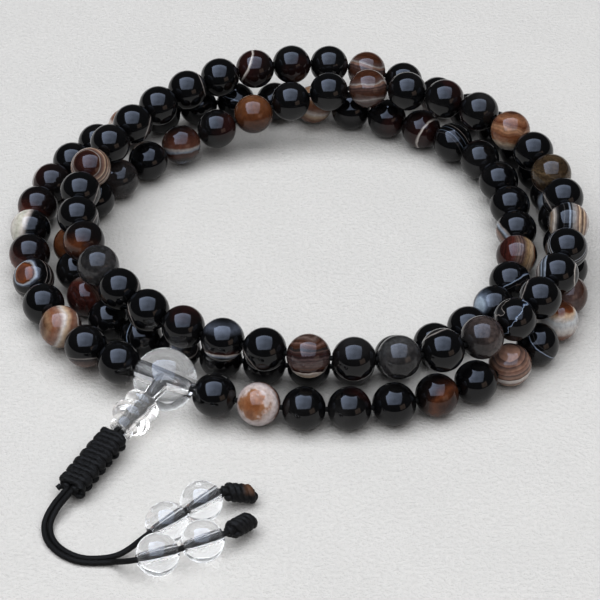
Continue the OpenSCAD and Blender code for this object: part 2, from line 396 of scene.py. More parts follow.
# plain dark stones, which most of the strand is
stone("black", [(0, SOOT), (0.2, INK), (0.8, INK), (1, SOOT)], mottle=0.3)
stone("dusk", [(0, SMOKE), (0.3, SOOT), (0.7, INK), (1, MAROON)], warp=0.2)
stone("line", [
    (0, SMOKE), (0.16, INK), (0.60, INK), (0.612, (0.09, 0.12, 0.18)), (0.628, BLUE_WHITE),
    (0.64, INK), (0.70, INK), (0.708, HAZE), (0.72, INK), (1, INK)], warp=0.04)
stone("squiggle", [
    (0, SOOT), (0.535, INK), (0.548, BLUE_WHITE), (0.562, (0.06, 0.09, 0.15)),
    (0.575, INK), (0.885, INK), (0.90, PEARL), (0.92, SMOKE), (1, SOOT)],
    warp=0.09, scale=2.4)
stone("rim", [
    (0, INK), (0.83, INK), (0.85, HAZE), (0.865, PEARL), (0.875, PEARL), (0.89, SMOKE),
    (1, SMOKE)], warp=0.02)
stone("base", [
    (0, SOOT), (0.3, INK), (0.62, INK), (0.64, HAZE), (0.66, PEARL), (0.68, SMOKE),
    (0.78, MAUVE), (1, PINK_BROWN)], warp=0.02)
stone("smoky", [
    (0, SMOKE), (0.35, HAZE), (0.6, (0.042, 0.042, 0.043)), (0.87, SMOKE), (0.90, HAZE),
    (0.912, PEARL), (0.925, HAZE), (1, SMOKE)], warp=0.05, mottle=0.5, clear=0.15)
# sheen: a black stone whose bluish-white patch at one end of its banding is a painted sheen
stone("sheen", [
    (0, SOOT), (0.6, INK), (0.84, INK), (0.92, (0.028, 0.034, 0.044)),
    (0.965, (0.10, 0.12, 0.155)), (1, (0.24, 0.28, 0.33))], warp=0.06)
# ringed and banded stones
stone("rings", [
    (0, PINK_BROWN), (0.10, UMBER), (0.14, MILK), (0.17, PINK_BROWN), (0.24, UMBER),
    (0.27, CREAM), (0.30, PINK_BROWN), (0.36, MAUVE), (0.40, CREAM), (0.43, PINK_BROWN),
    (0.48, MAUVE), (0.52, CREAM), (0.55, PINK_BROWN), (0.60, MAUVE), (0.63, CREAM),
    (0.66, PINK_BROWN), (0.71, MAUVE), (0.74, CREAM), (0.77, PINK_BROWN), (0.835, MAUVE),
    (0.855, PEARL), (0.87, UMBER), (0.93, MAROON), (1, (0.035, 0.013, 0.010))],
    warp=0.02, mottle=0.2)
stone("eye", [
    (0, MAUVE), (0.12, CREAM), (0.16, MAUVE), (0.25, PEARL), (0.28, MAUVE),
    (0.36, PEARL), (0.39, SOOT), (0.46, PEARL), (0.475, MAUVE), (0.55, SOOT),
    (0.61, PEARL), (0.625, INK), (0.69, INK), (0.705, PEARL), (0.72, INK), (0.84, INK),
    (0.875, (0.05, 0.055, 0.07)), (0.90, BLUE_WHITE), (0.92, (0.22, 0.21, 0.21)),
    (0.935, UMBER), (0.955, RUST), (0.98, (0.10, 0.040, 0.024)),
    (1, (0.07, 0.028, 0.018))], warp=0.05)
stone("target", [
    (0, MAUVE), (0.10, SMOKE), (0.25, INK), (0.37, INK), (0.385, PEARL), (0.40, SOOT),
    (0.47, INK), (0.485, (0.08, 0.10, 0.13)), (0.50, INK), (0.59, INK),
    (0.603, (0.08, 0.10, 0.13)), (0.62, INK), (0.67, INK), (0.682, HAZE), (0.70, INK),
    (1, INK)], warp=0.015)
stone("double_ring", [
    (0, MAUVE), (0.2, SMOKE), (0.3, INK), (0.665, INK), (0.675, BLUE_WHITE),
    (0.688, PEARL), (0.70, INK), (0.725, INK), (0.735, PEARL), (0.748, BLUE_WHITE),
    (0.76, INK), (1, INK)], warp=0.015)
stone("side_lines", [
    (0, CREAM), (0.04, MAUVE), (0.09, PEARL), (0.12, SMOKE), (0.17, BLUE_WHITE),
    (0.19, INK), (0.26, BLUE_WHITE), (0.28, INK), (0.9, INK), (0.925, MILK), (0.94, SMOKE),
    (1, SOOT)], warp=0.02)
stone("stripes", [
    (0, MAUVE), (0.09, MILK), (0.13, PINK_BROWN), (0.19, CREAM), (0.23, MAUVE),
    (0.29, CREAM), (0.33, (0.14, 0.10, 0.085)), (0.39, PEARL), (0.45, (0.16, 0.155, 0.155)),
    (0.50, SOOT), (0.55, BLUE_WHITE), (0.565, INK), (0.64, INK), (0.67, HAZE),
    (0.69, INK), (0.78, INK), (0.83, HAZE), (0.88, MILK), (0.94, (0.15, 0.11, 0.08)),
    (1, SMOKE)], warp=0.012, grain=0.35)
stone("white_band", [
    (0, PEARL), (0.14, PINK_BROWN), (0.20, SMOKE), (0.25, BLUE_WHITE), (0.31, PEARL),
    (0.34, INK), (1, INK)], warp=0.025)
# cap: the blue-white, cream and brown bands low in the ramp are the stone's own; the faint bluish band high in it
# is a painted sheen
stone("cap", [
    (0, SOOT), (0.14, INK), (0.18, BLUE_WHITE), (0.245, MILK), (0.265, UMBER),
    (0.31, MAROON), (0.35, INK), (0.68, INK), (0.82, (0.055, 0.062, 0.08)), (1, INK)],
    warp=0.02)
stone("layers", [
    (0, UMBER), (0.05, CREAM), (0.18, MILK), (0.20, UMBER), (0.24, MAROON),
    (0.29, UMBER), (0.35, MAUVE), (0.50, (0.060, 0.043, 0.043)), (0.60, MAROON),
    (0.66, MAUVE), (0.70, SMOKE), (0.76, UMBER), (0.83, (0.10, 0.06, 0.05)), (0.88, UMBER),
    (0.94, (0.085, 0.062, 0.056)), (1, UMBER)], warp=0.05, grain=0.35)
stone("brown_bands", [
    (0, UMBER), (0.18, MAUVE), (0.24, PEARL), (0.29, MAUVE), (0.36, UMBER),
    (0.58, MAUVE), (0.63, PINK_BROWN), (0.67, PEARL), (0.71, MAUVE), (0.82, UMBER),
    (1, UMBER)], warp=0.04, grain=0.25)
# light stones
stone("tan_rings", [
    (0, MAUVE), (0.12, PINK_BROWN), (0.24, CREAM), (0.33, PINK_BROWN), (0.42, MILK),
    (0.50, MILK), (0.515, UMBER), (0.54, PINK_BROWN), (0.59, (0.20, 0.125, 0.095)),
    (0.64, MAUVE), (0.66, PINK_BROWN), (0.73, (0.12, 0.062, 0.045)),
    (0.75, (0.20, 0.125, 0.095)), (0.83, MAUVE), (0.845, PINK_BROWN), (0.92, MAUVE),
    (0.935, (0.21, 0.13, 0.10)), (1, PINK_BROWN)], warp=0.02, clear=0.1)
stone("cream", [
    (0, INK), (0.16, MAUVE), (0.20, MILK), (0.23, PINK_BROWN), (0.40, (0.17, 0.085, 0.055)),
    (0.52, CREAM), (0.60, MILK), (0.68, PINK_BROWN), (0.80, (0.16, 0.07, 0.04)),
    (0.90, TAN), (1, UMBER)], warp=0.05, clear=0.1)
stone("spot", [
    (0, MAUVE), (0.40, UMBER), (0.48, (0.09, 0.06, 0.062)), (0.55, PINK_BROWN),
    (0.61, (0.33, 0.29, 0.29)), (0.72, (0.42, 0.37, 0.365)), (0.84, (0.36, 0.30, 0.28)),
    (0.89, (0.24, 0.125, 0.07)), (1, (0.17, 0.07, 0.03))], warp=0.12, scale=2.2, clear=0.1)
stone("pale_spot", [
    (0, MAUVE), (0.25, RUST), (0.34, PINK_BROWN), (0.44, MILK), (0.75, (0.34, 0.35, 0.36)),
    (0.86, CREAM), (0.90, RUST), (1, UMBER)], warp=0.06, clear=0.1)
stone("half", [
    (0, MILK), (0.28, (0.40, 0.39, 0.34)), (0.38, MILK), (0.45, PEARL), (0.50, SMOKE),
    (0.55, INK), (1, INK)], warp=0.03, clear=0.1)
stone("patch", [
    (0, INK), (0.44, INK), (0.48, HAZE), (0.55, BLUE_WHITE), (0.74, (0.33, 0.36, 0.40)),
    (0.80, RUST), (0.92, (0.24, 0.06, 0.02)), (1, UMBER)], warp=0.08)
# warm stones
stone("caramel", [
    (0, MILK), (0.20, CREAM), (0.27, (0.20, 0.095, 0.05)), (0.42, (0.125, 0.046, 0.02)),
    (0.56, (0.25, 0.145, 0.09)), (0.70, (0.10, 0.036, 0.017)), (0.84, (0.19, 0.095, 0.055)),
    (1, UMBER)], warp=0.07, grain=0.18, clear=0.1)
stone("amber", [
    (0, MAROON), (0.3, UMBER), (0.6, (0.082, 0.030, 0.012)), (1, (0.11, 0.048, 0.022))],
    warp=0.12, clear=0.2)
stone("ember", [
    (0, INK), (0.45, (0.006, 0.004, 0.004)), (0.62, (0.022, 0.008, 0.005)),
    (0.80, (0.085, 0.030, 0.013)), (0.90, UMBER), (1, MAROON)], warp=0.10, clear=0.1)
stone("banded", [
    (0, (0.08, 0.095, 0.13)), (0.14, SMOKE), (0.28, (0.05, 0.020, 0.014)),
    (0.37, (0.035, 0.014, 0.010)), (0.42, (0.12, 0.135, 0.16)), (0.49, PEARL),
    (0.53, (0.08, 0.035, 0.024)), (0.75, (0.035, 0.013, 0.009)), (1, INK)], warp=0.05)
stone("olive", [
    (0, UMBER), (0.14, CREAM), (0.19, MAUVE), (0.4, (0.034, 0.021, 0.011)),
    (0.6, (0.072, 0.050, 0.029)), (0.75, (0.032, 0.021, 0.012)), (1, (0.045, 0.030, 0.017))],
    warp=0.14, grain=0.3, mottle=0.4, clear=0.15)
stone("split", [
    (0, INK), (0.13, INK), (0.17, RUST), (0.22, CREAM), (0.36, (0.21, 0.145, 0.085)),
    (0.47, MAUVE), (0.62, (0.095, 0.062, 0.052)), (0.72, (0.055, 0.015, 0.011)), (1, MAROON)],
    warp=0.05, grain=0.35)
stone("oxblood", [
    (0, (0.15, 0.065, 0.042)), (0.16, (0.085, 0.022, 0.014)), (0.34, (0.032, 0.010, 0.008)),
    (0.5, (0.009, 0.005, 0.005)), (1, INK)], warp=0.09, mottle=0.4, clear=0.1)
stone("garnet", [
    (0, SOOT), (0.4, (0.009, 0.005, 0.005)), (0.70, MAROON), (0.725, PEARL),
    (0.75, MILK), (0.775, MAROON), (1, MAROON)], warp=0.03)
stone("mauve", [
    (0, UMBER), (0.3, (0.075, 0.048, 0.045)), (0.6, (0.11, 0.072, 0.066)), (0.8, MAUVE),
    (1, UMBER)], warp=0.12, mottle=0.35)
stone("taupe", [
    (0, SMOKE), (0.3, (0.036, 0.028, 0.027)), (0.55, (0.055, 0.043, 0.041)),
    (0.75, (0.033, 0.025, 0.024)), (0.87, MAUVE), (0.90, PEARL), (0.92, MAUVE),
    (1, SMOKE)], warp=0.06, mottle=0.55, clear=0.12)


def quartz(name, roughness, tint, clarity=1.0, ior=1.544):
    """Rock crystal: clear, with faint wisps where the polish is a little softer. Where it is
    ground, as in a hole, clarity is how much light still goes through."""
    material, tree, shader = new_material(name)
    place = add_node(tree, "ShaderNodeTexCoord").outputs["Object"]
    wisps = noise(tree, place, 260.0, 4.0, Distortion=1.2)
    rough = map_range(tree, wisps, (0.45, 0.75), (roughness, roughness * 1.6 + 0.02))
    tree.links.new(rough, shader.inputs["Roughness"])
    shader.inputs["Base Color"].default_value = (*tint, 1)
    shader.inputs["Transmission Weight"].default_value = clarity
    shader.inputs["IOR"].default_value = ior
    add_bump(tree, shader, wisps, 0.03, 0.05 * MM)
    # a clear ball throws most of the light it takes onto the table under it
    rays = tree.nodes.new("ShaderNodeLightPath")
    passed = add_node(tree, "ShaderNodeBsdfTransparent", {"Color": (0.86, 0.86, 0.86, 1)})
    either = add_node(tree, "ShaderNodeMixShader", {
        0: rays.outputs["Is Shadow Ray"], 1: shader.outputs["BSDF"], 2: passed.outputs["BSDF"],
    })
    out = next(node for node in tree.nodes if node.type == "OUTPUT_MATERIAL")
    tree.links.new(either.outputs["Shader"], out.inputs["Surface"])
    return material


YARN_PITCH = 5200.0


def cord_material(name, colour, rough, fuzz, tip=None):
    """Black braided cord: fine yarns that cross at an angle, and a soft sheen."""
    material, tree, shader = new_material(name)
    s = attribute(tree, "cord_s", "Fac")
    turn = attribute(tree, "cord_turn", "Fac")
    yarns = []
    for way in (1, -1):
        run = math_node(tree, "MULTIPLY", s, YARN_PITCH)
        phase = math_node(tree, "ADD", run, math_node(tree, "MULTIPLY", turn, 6.0 * way))
        yarns.append(math_node(tree, "SINE", phase))
    weave = math_node(tree, "MAXIMUM", yarns[0], yarns[1])
    place = add_node(tree, "ShaderNodeTexCoord").outputs["Object"]
    fibre = noise(tree, place, YARN_PITCH, 3.0, Roughness=0.7)
    height = math_node(tree, "ADD", math_node(tree, "MULTIPLY", weave, 0.5), fibre)
    add_bump(tree, shader, height, 0.55, 0.06 * MM)
    # The colour is lighter on the crests of the weave and darker in its grooves, which is painted shade between
    # the yarns, and it also varies at random with the fibres.
    dark = tuple(0.45 * c for c in colour)
    light = tuple(2.2 * c for c in colour)
    mixed = math_node(tree, "ADD", math_node(tree, "MULTIPLY", weave, 0.2), fibre)
    base = ramp(tree, mixed, [(0.25, dark), (0.55, colour), (0.9, light)])
    if tip is not None:
        burnt = attribute(tree, "burnt", "Fac")
        mix = add_node(
            tree, "ShaderNodeMix", {"Factor": burnt, "A": base, "B": (*tip, 1)},
            data_type="RGBA",
        )
        base = mix.outputs["Result"]
    tree.links.new(base, shader.inputs["Base Color"])
    worn = map_range(tree, fibre, NOISE_SPAN, (rough - 0.1, rough + 0.12))
    tree.links.new(worn, shader.inputs["Roughness"])
    shader.inputs["Specular IOR Level"].default_value = 0.22
    shader.inputs["Sheen Weight"].default_value = fuzz
    shader.inputs["Sheen Roughness"].default_value = 0.4
    return material


QUARTZ = quartz("quartz_clear", 0.012, (0.985, 0.99, 1.0))
QUARTZ_BORE = quartz("quartz_bore", 0.08, (0.92, 0.94, 0.97), 0.98, 1.32)
QUARTZ_GURU_BORE = quartz("quartz_guru_bore", 0.08, (0.92, 0.93, 0.96), 0.95, 1.42)
QUARTZ_TOWER = quartz("quartz_tower", 0.05, (1.0, 0.99, 0.98), 0.92)
CORD = cord_material("cord_black", (0.0035, 0.0035, 0.0039), 0.62, 0.01)
KNOT_CORD = cord_material("knot_black", (0.0055, 0.0055, 0.0062), 0.55, 0.02)
BURNT_CORD = cord_material(
    "knot_burnt", (0.0055, 0.0055, 0.0062), 0.55, 0.02, tip=(0.09, 0.045, 0.025),
)


# ---- Tail cords: the route's places are those of the frame's cord solids, in metres
GURU = joint_point("tail_swing")
TAIL_DIR = joint_axis("tower_spin")
SLIDER_DIR = joint_axis("slider_slide")
SLIDER_FROM = Vector((-32, -49, 3.4)) * MM
SLIDER_END = SLIDER_FROM + SLIDER_DIR * SLIDER_L
SLIDE_TRAVEL = JOINTS["slider_slide"]["range_m"][1]
FREE_START = SLIDER_END + SLIDER_DIR * (SLIDE_TRAVEL + 0.5 * MM)
PAIR_HALF = CORD_D / 2 + 0.02 * MM
LOW_Z = 0.6
TAIL_Z = 3.75


def places(*points):
    """Places given in millimetres."""
    return [Vector(p) * MM for p in points]


PAIR_ROUTE = [FREE_START] + places(
    (-43, -69.5, 1.1), (-42.5, -73, LOW_Z), (-40.5, -76, LOW_Z), (-37.5, -78, LOW_Z),
    (-34.5, -78.5, LOW_Z),
)
REAR_ROUTE = places((-31, -77.8, 1), (-28.5, -76.5, 1.5), (-25, -75, TAIL_Z))
FRONT_ROUTE = places((-31, -79.2, 1), (-27, -81.5, TAIL_Z))
REAR_END = places((-19.5, -70, TAIL_Z), (-13.5, -64.5, TAIL_Z), (-7.5, -63.5, 2))
FRONT_END = places((-20, -79, TAIL_Z), (-12, -75, TAIL_Z), (-7.5, -70, 2.5))


# How the cord's strands lie: on the tail, on the strand, in the knots, and in what fills them.
TAIL_LAY = {"relief": 0.02, "lay": 3600.0, "plait": 6}
STRAND_LAY = {"relief": 0.03, "lay": 2600.0, "plait": 4}
KNOT_LAY = {"relief": 0.07, "lay": 4600.0, "plait": 6}
FILL_LAY = {"relief": 0.05, "lay": 2400.0, "plait": 4}
CORE_LAY = {"relief": 0.04, "lay": 2400.0, "plait": 4}


def level_side(direction):
    return Vector(direction).cross(UP).normalized()


def tail_route(side, parted, end):
    """The middle line of one tail cord, from inside the guru bead to inside its end knot."""
    shift = side * PAIR_HALF
    held = [
        GURU + TAIL_DIR * (CORD_D + 0.1 * MM) + shift * level_side(TAIL_DIR),
        SLIDER_FROM + shift * level_side(TAIL_DIR + SLIDER_DIR),
    ]
    start_side = shift * level_side(SLIDER_DIR)
    free = [PAIR_ROUTE[0] + start_side]
    last = len(PAIR_ROUTE) - 1
    for i in range(1, len(PAIR_ROUTE)):
        ahead = PAIR_ROUTE[min(i + 1, last)] - PAIR_ROUTE[i - 1]
        free.append(PAIR_ROUTE[i] + shift * level_side(ahead))
    run = smooth_line(free + parted, SLIDER_END + start_side, end[0], 3)
    return held + run + [end[0], end[1], (end[1] + end[2]) / 2]


def tail_cord(name, node, side, parted, end):
    line, along = rounded(tail_route(side, parted, end), 0.16 * MM, 10)
    parts = Parts()
    add_tube(parts, line, along, CORD_D / 2 * 1.03, 24, **TAIL_LAY)
    cord = place_piece(parts.build(name, [CORD]), node, "guru_and_tail")
    return cord, line, along[-1]


rear_cord, rear_line, rear_length = tail_cord(
    "tail_cord_rear_braid", "tail_cord_rear", -1, REAR_ROUTE, REAR_END
)
front_cord, front_line, front_length = tail_cord(
    "tail_cord_front_braid", "tail_cord_front", 1, FRONT_ROUTE, FRONT_END
)


# ---- Strand beads
def balls_of(node):
    """The centre and the hole's direction of each drilled ball in a CAD node."""
    mesh = frame["nodes"][node].data
    mesh.calc_loop_triangles()
    place = np.array([v.co for v in mesh.vertices])
    tris = np.array([t.vertices for t in mesh.loop_triangles])
    _, weld = np.unique(np.round(place * 1e6).astype(int), axis=0, return_inverse=True)
    weld = weld.ravel()
    group = np.arange(weld.max() + 1)
    ends = weld[tris]
    while True:
        low = group[ends].min(axis=1)
        before = group.copy()
        for k in range(3):
            np.minimum.at(group, ends[:, k], low)
        if (before == group).all():
            break
    found = []
    for label in np.unique(group):
        mine = tris[group[ends[:, 0]] == label]
        points = place[np.unique(mine)]
        # |p|^2 = 2 c.p + (r^2 - |c|^2) for every point p of a ball with centre c
        rows = np.hstack([2 * points, np.ones((len(points), 1))])
        centre = np.linalg.lstsq(rows, (points**2).sum(1), rcond=None)[0][:3]
        a, b, c = (place[mine[:, k]] for k in range(3))
        normal = np.cross(b - a, c - a)
        size = np.linalg.norm(normal, axis=1)
        keep = size > 1e-14
        normal = normal[keep] / size[keep][:, None]
        out = ((a + b + c) / 3)[keep] - centre
        out /= np.linalg.norm(out, axis=1)[:, None]
        wall = normal[(normal * out).sum(1) < 0.5]
        axis = np.linalg.eigh(wall.T @ wall)[1][:, 0]
        found.append((centre, axis))
    return found


def strand_beads():
    """Every strand bead in order from the guru bead: (node, centre, axis along the strand)."""
    singles = sorted(n for n in frame["nodes"] if n.startswith("bead_"))
    groups = sorted(n for n in frame["nodes"] if n.startswith("beads_"))
    order = []
    for single, group in zip(singles, groups):
        order.append((single, *balls_of(single)[0]))
        left = balls_of(group)
        while left:
            here = order[-1][1]
            nearest = min(range(len(left)), key=lambda i: np.linalg.norm(left[i][0] - here))
            order.append((group, *left.pop(nearest)))
    places = [np.array(GURU)] + [b[1] for b in order] + [np.array(GURU)]
    turned = []
    for i, (node, centre, axis) in enumerate(order):
        ahead = places[i + 2] - places[i]
        turned.append((node, centre, axis if np.dot(axis, ahead) > 0 else -axis))
    return turned


BEADS = strand_beads()

# How the stones that stand out lie: bead number, kind, and which way the far end of its
# banding points, as right, up and toward the camera.
LOOKS = {
    1: ("black", (0, 1, 0)), 2: ("spot", (-0.3, -0.05, 0.95)),
    6: ("ember", (0.5, -0.4, 0.3)), 8: ("tan_rings", (-0.1, 0.75, 0.8)),
    9: ("line", (0.6, 0.5, 0.4)), 10: ("pale_spot", (0.1, 0.8, 0.55)), 11: ("mauve", (1, 0, 0.3)),
    15: ("patch", (0.7, -0.5, 0.4)), 20: ("oxblood", (0, 0.6, 0.5)),
    22: ("brown_bands", (0.25, 1, 0.1)), 25: ("garnet", (-1, 0.35, 0.25)),
    27: ("rim", (0.75, 0.25, -0.15)), 29: ("rim", (1, -0.3, -0.2)),
    31: ("rings", (-0.2, 0.22, 0.95)), 32: ("rim", (1, -0.35, -0.2)),
    33: ("rim", (0.75, -0.45, -0.15)), 34: ("ember", (-0.3, -0.9, 0.3)),
    35: ("smoky", (0.4, -0.6, -0.6)), 36: ("rim", (0.9, -0.2, -0.2)),
    37: ("rim", (-0.9, -0.3, -0.1)), 38: ("dusk", (0.2, 0.9, 0.1)),
    39: ("cap", (0.05, 1, 0.25)), 40: ("rim", (-0.75, -0.55, -0.15)),
    41: ("layers", (-0.05, 1, 0.22)), 43: ("smoky", (-0.4, 0.7, -0.6)),
    44: ("rim", (-0.35, 0.75, -0.15)), 45: ("taupe", (0.75, 0.4, -0.5)),
    46: ("squiggle", (-0.75, 0.5, 0.1)), 47: ("rim", (-0.8, 0.3, -0.15)),
    48: ("side_lines", (0.97, -0.05, 0.2)), 49: ("double_ring", (0.05, 0.37, 0.93)),
    50: ("stripes", (-1, 0.05, 0.05)), 51: ("rim", (-0.8, -0.45, -0.1)),
    52: ("olive", (0.2, 0.8, 0.5)), 54: ("caramel", (0.2, 0.95, 0.2)),
    56: ("dusk", (0.5, 0.5, 0.3)), 58: ("brown_bands", (-0.1, 1, 0.2)),
    61: ("amber", (0, 0.8, 0.4)), 63: ("banded", (-0.1, 0.9, 0.3)),
    64: ("black", (0, 1, 0)), 65: ("taupe", (-0.5, 0.2, -0.8)), 66: ("black", (0, 1, 0)),
    68: ("amber", (0.3, 0.5, 0.7)), 70: ("split", (-0.6, -0.4, 0.6)),
    81: ("sheen", (-0.75, 0.25, 0.6)), 82: ("line", (0.5, -0.85, 0.2)),
    83: ("split", (-0.95, 0.15, 0.2)), 84: ("white_band", (0.75, 0.65, 0.1)),
    88: ("target", (-0.6, -0.55, 0.35)), 89: ("garnet", (0.5, -0.4, 0.3)),
    92: ("cream", (0.3, 0.6, 0.7)), 97: ("cream", (0.2, 0.9, 0.3)),
    100: ("garnet", (-0.75, 0.25, -0.6)), 101: ("oxblood", (0.5, 0.85, -0.1)),
    102: ("half", (0.95, -0.25, 0.1)), 103: ("oxblood", (0.5, 0.8, 0.1)),
    104: ("eye", (-0.35, 0.35, 0.85)), 105: ("black", (0, 1, 0)),
    106: ("cream", (-0.85, 0.1, 0.35)), 107: ("base", (0.05, -0.9, -0.3)),
    108: ("black", (0, 1, 0)),
}
# What the other beads are: mostly plain black, with a quiet variation now and then.
QUIET = ["black"] * 9 + ["rim", "line", "dusk", "dusk", "smoky"]


def seen_direction(right, up, near):
    """A direction given as right, up and near in the camera's view, in the frame."""
    x = Vector((1, 0, 0))
    z = toward_camera
    return (x * right + z.cross(x) * up + z * near).normalized()


def stone_of(number):
    """The kind of a bead, its banding axis, and the number that makes its clouds its own."""
    rng = random.Random(7000 + number)
    axis = Vector([rng.gauss(0, 1) for _ in range(3)]).normalized()
    kind = rng.choice(QUIET)
    if number in LOOKS:
        kind, facing = LOOKS[number]
        axis = seen_direction(*facing)
    return kind, axis, rng.uniform(0, 40)


BEAD_PROFILE = drilled_ball_profile(BEAD_R, BEAD_BORE_R, 0.16 * MM, 30)
BEAD_VERTS, BEAD_FACES = revolve(BEAD_PROFILE, 48)


def build_strand():
    """One object for each CAD node of strand beads, with each bead's stone on its faces."""
    body_of = {n: b for b, ns in frame["record"]["behaviour"]["bodies"].items() for n in ns}
    members = {}
    for i, (node, centre, axis) in enumerate(BEADS):
        members.setdefault(node, []).append((i + 1, centre, axis))
    for node, beads in members.items():
        parts = Parts()
        kinds = []
        for number, centre, axis in beads:
            kind, banding, seed = stone_of(number)
            if kind not in kinds:
                kinds.append(kind)
            turned = BEAD_VERTS @ axes_for(axis).T
            stone = (turned / BEAD_R) @ axes_for(banding)
            parts.add(
                turned + centre, BEAD_FACES, kinds.index(kind),
                stone=stone, seed=np.full(len(turned), seed),
            )
        piece = parts.build(node.replace("bead", "agate", 1), [STONES[k] for k in kinds])
        place_piece(piece, node, body_of[node])


build_strand()


# ---- Strand cord: it shows only between beads, and is split at the two slack links, each of which a short straight piece fills
LIFT_FIRST = 31
LIFT_LAST = 54
LINK_HALF = 1.5 * MM


def bead_end(number, way):
    """Where the hole of a bead ends, before it (-1) or after it (1)."""
    _, centre, axis = BEADS[number - 1]
    return centre + axis * way * (BEAD_R + 0.1 * MM)


def strand_cord(name, node, body, points):
    line, along = rounded(points, 0.5 * MM, 2)
    parts = Parts()
    add_tube(parts, line, along, CORD_D / 2, 12, **STRAND_LAY)
    place_piece(parts.build(name, [CORD]), node, body)


def between_beads(number):
    """The middle of the link from a bead to the next one, and its direction."""
    a, b = bead_end(number, 1), bead_end(number + 1, -1)
    return (a + b) / 2, (b - a) / np.linalg.norm(b - a)


def threaded(first, last):
    """Points of the cord through a row of beads."""
    points = []
    for number in range(first, last + 1):
        points += [bead_end(number, -1), bead_end(number, 1)]
    return points


P1, D1 = between_beads(LIFT_FIRST - 1)
P2, D2 = between_beads(LIFT_LAST)
guru = np.array(GURU)
strand_cord(
    "strand_cord_first_braid", "strand_cord_first", "coil",
    [guru, *threaded(1, LIFT_FIRST - 1)[:-1], P1 - D1 * (LINK_HALF - 0.1 * MM)],
)
strand_cord(
    "strand_cord_lift_braid", "strand_cord_lift", "upper_turn",
    [P1 + D1 * (LINK_HALF - 0.1 * MM), *threaded(LIFT_FIRST, LIFT_LAST)[1:-1],
     P2 - D2 * (LINK_HALF - 0.1 * MM)],
)
strand_cord(
    "strand_cord_last_braid", "strand_cord_last", "coil",
    [P2 + D2 * (LINK_HALF - 0.1 * MM), *threaded(LIFT_LAST + 1, BEAD_COUNT)[1:], guru],
)
for label, middle, direction, bodies in (
    ("a", P1, D1, ("coil", "upper_turn")),
    ("b", P2, D2, ("upper_turn", "coil")),
):
    line = np.linspace(middle - direction * LINK_HALF, middle + direction * LINK_HALF, 31)
    along = np.linspace(0, 2 * LINK_HALF, 31)
    parts = Parts()
    add_tube(parts, line, along, CORD_D / 2 * 0.995, 12, **STRAND_LAY)
    link = parts.build("strand_cord_link_" + label, [CORD])
    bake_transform(link)


# ---- Quartz: guru bead, tower bead and tail beads
def wall_slots(profile, sides, bore):
    """1 for the faces of the hole's wall, 0 for the rest, in the order that revolve has."""
    in_hole = np.array([p[0] for p in profile]) < bore + 0.02 * MM
    on_wall = in_hole & np.roll(in_hole, -1)
    return np.tile(on_wall.astype(int), sides)


def quartz_turning(name, node, body, profile, bore, place, direction, materials):
    sides = 72
    verts, faces = revolve(profile, sides)
    verts = verts @ axes_for(direction).T + np.array(place)
    slots = wall_slots(profile, sides, bore)
    return place_piece(make_object(name, verts, faces, materials, slots), node, body)


def tail_bead(which):
    joint = f"tail_{which}_spin"
    profile = drilled_ball_profile(TAIL_BEAD_R, TAIL_BORE_R, 0.12 * MM, 40)
    return quartz_turning(
        f"quartz_tail_{which}", f"tail_bead_{which}", f"tail_{which}", profile, TAIL_BORE_R,
        joint_point(joint), joint_axis(joint), [QUARTZ, QUARTZ_BORE],
    )


TAIL_BEADS = {w: tail_bead(w) for w in ("rear_1", "rear_2", "front_1", "front_2")}


def tower_profile():
    """Disc, barrel and neck in one turning, from the guru bead outward."""
    bore, end = TOWER_BORE_R, TOWER_L
    disc_r, barrel_r, neck_r = 3.5 * MM, 3.8 * MM, 2.28 * MM
    disc_h, barrel_h = 0.33 * TOWER_L, 0.45 * TOWER_L
    waist_r = 2.9 * MM
    rim = 0.10 * MM
    points = [(bore, 0.5 * end), (bore, rim), (bore + rim, 0)]
    points += [(disc_r - 1.2 * MM, 0.0)]
    points += arc((disc_r - disc_h / 2, disc_h / 2), disc_h / 2, -80, 62, 14)
    points += [(waist_r, disc_h - 0.02 * MM)]
    points += arc((barrel_r - barrel_h / 2, disc_h + barrel_h / 2), barrel_h / 2, -58, 70, 18)
    shoulder = disc_h + barrel_h
    points += [(neck_r + 0.25 * MM, shoulder - 0.02 * MM), (neck_r, shoulder + 0.2 * MM)]
    points += arc((neck_r - 0.35 * MM, end - 0.35 * MM), 0.35 * MM, 0, 90, 5)
    points += [(bore + rim, end), (bore, end - rim)]
    return points[::-1]


quartz_turning(
    "quartz_tower", "tower_bead", "tower", tower_profile(), TOWER_BORE_R,
    GURU + TAIL_DIR * (GURU_R + 0.1 * MM), TAIL_DIR, [QUARTZ_TOWER, QUARTZ_BORE],
)


def guru_bead():
    """A quartz ball with a hole along the strand and one from its middle to the tail."""
    profile = drilled_ball_profile(GURU_R, GURU_BORE_R, 0.15 * MM, 56)
    sides = 96
    verts, faces = revolve(profile, sides)
    verts = verts @ axes_for(joint_axis("tail_swing")).T + np.array(GURU)
    slots = wall_slots(profile, sides, GURU_BORE_R)
    piece = make_object("quartz_guru", verts, faces, [QUARTZ, QUARTZ_GURU_BORE], slots)
    drill_v, drill_f, _, _ = tube(
        [np.array(GURU + TAIL_DIR * d) for d in np.linspace(0, 1.3 * GURU_R, 12)],
        np.zeros(12), GURU_BORE_R, 40,
    )
    drill = make_object("drill", drill_v, drill_f, [QUARTZ_GURU_BORE])
    cut = piece.modifiers.new("tail_hole", "BOOLEAN")
    cut.operation = "DIFFERENCE"
    cut.solver = "EXACT"
    cut.object = drill
    cut.material_mode = "TRANSFER"
    graph = bpy.context.evaluated_depsgraph_get()
    result = bpy.data.meshes.new_from_object(piece.evaluated_get(graph))
    piece.modifiers.clear()
    piece.data = result
    bpy.data.objects.remove(drill)
    result.polygons.foreach_set("use_smooth", np.ones(len(result.polygons), bool))
    result.set_sharp_from_angle(angle=math.radians(40))
    place_piece(piece, "guru_bead", "guru_and_tail")


guru_bead()


# ---- Knots
KNOTS = 7
WORKING_R = 0.60 * MM
LOOP_R = 0.95 * MM
SLIDER_HALF_W = 2.9 * MM
SLIDER_HALF_H = 1.9 * MM


